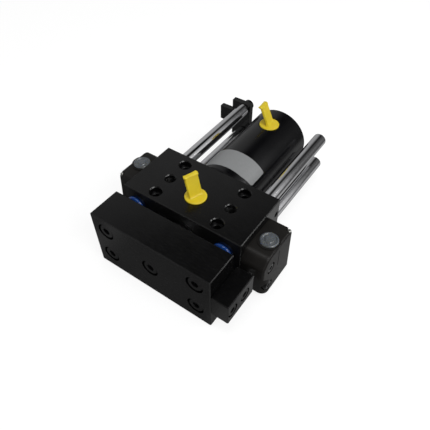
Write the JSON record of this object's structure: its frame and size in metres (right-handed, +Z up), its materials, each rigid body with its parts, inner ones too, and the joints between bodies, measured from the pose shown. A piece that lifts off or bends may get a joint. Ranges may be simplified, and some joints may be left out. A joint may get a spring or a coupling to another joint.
{
  "type": "hydraulic block cylinder",
  "caption": "Hydraulic block cylinder with a guided front plate on chromed rods, a barrel behind the block and a limit switch on each side.",
  "frame": {"origin": "middle of the block's bottom face", "axes": "+Z up, the stroke along Y with the front plate towards -Y, X across the width"},
  "size_m": [0.1492, 0.2048, 0.0758],
  "materials": {
    "black_steel": "black oxide, satin",
    "barrel_steel": "black, satin",
    "gland_steel": "black oxide, satin",
    "hard_chrome": "hard chrome, ground and polished",
    "bronze": "turned",
    "blue_polyurethane": "satin",
    "black_seal": "satin",
    "guide_ring": "matt",
    "bare_steel": "turned",
    "black_screw": "black oxide",
    "bright_screw": "zinc plated",
    "switch_plastic": "moulded, fine grain",
    "cap_plastic": "translucent",
    "plunger_steel": "ground",
    "yellow_plug": "soft polyethylene"
  },
  "bodies": {
    "block": {"guide_block": "black_steel", "barrel": "barrel_steel", "barrel_end_cap": "barrel_steel", "rod_gland": "gland_steel", "guide_bush_left_upper": "bronze", "guide_bush_left_lower": "bronze", "guide_bush_right_upper": "bronze", "guide_bush_right_lower": "bronze", "guide_wiper_left_upper": "blue_polyurethane", "guide_wiper_left_lower": "blue_polyurethane", "guide_wiper_right_upper": "blue_polyurethane", "guide_wiper_right_lower": "blue_polyurethane", "barrel_seal": "black_seal", "end_cap_seal": "black_seal", "rod_seal": "black_seal", "gland_seal": "black_seal", "rod_wiper": "black_seal", "switch_screws": "black_screw", "side_plug": "black_screw", "switch_terminal_screws": "bright_screw", "switch_housing_left": "switch_plastic", "switch_housing_right": "switch_plastic", "switch_cap_left": "cap_plastic", "switch_cap_right": "cap_plastic", "front_port_plug": "yellow_plug", "rear_port_plug": "yellow_plug"},
    "slide": {"front_plate": "black_steel", "plate_screws": "black_screw", "piston_rod": "hard_chrome", "piston": "bare_steel", "piston_seal": "black_seal", "piston_guide_ring": "guide_ring", "piston_nut": "bare_steel", "trip_bar": "black_steel", "trip_bar_screws": "black_screw", "trip_bracket": "black_steel", "bracket_screws": "black_screw", "guide_rod_left_upper": "hard_chrome", "guide_rod_left_lower": "hard_chrome", "guide_rod_right_upper": "hard_chrome", "guide_rod_right_lower": "hard_chrome"},
    "plunger_right": {"switch_plunger_right": "plunger_steel"},
    "plunger_left": {"switch_plunger_left": "plunger_steel"}
  },
  "joints": [
    {"name": "plate_slide", "type": "slide", "parent": "block", "child": "slide", "axis": [0, -1, 0], "range_m": [0, 0.09]},
    {"name": "right_plunger_slide", "type": "slide", "parent": "block", "child": "plunger_right", "axis": [0, 1, 0], "range_m": [0, 0.003], "stiffness_N_per_m": 600},
    {"name": "left_plunger_slide", "type": "slide", "parent": "block", "child": "plunger_left", "axis": [0, -1, 0], "range_m": [0, 0.003], "stiffness_N_per_m": 600}
  ]
}
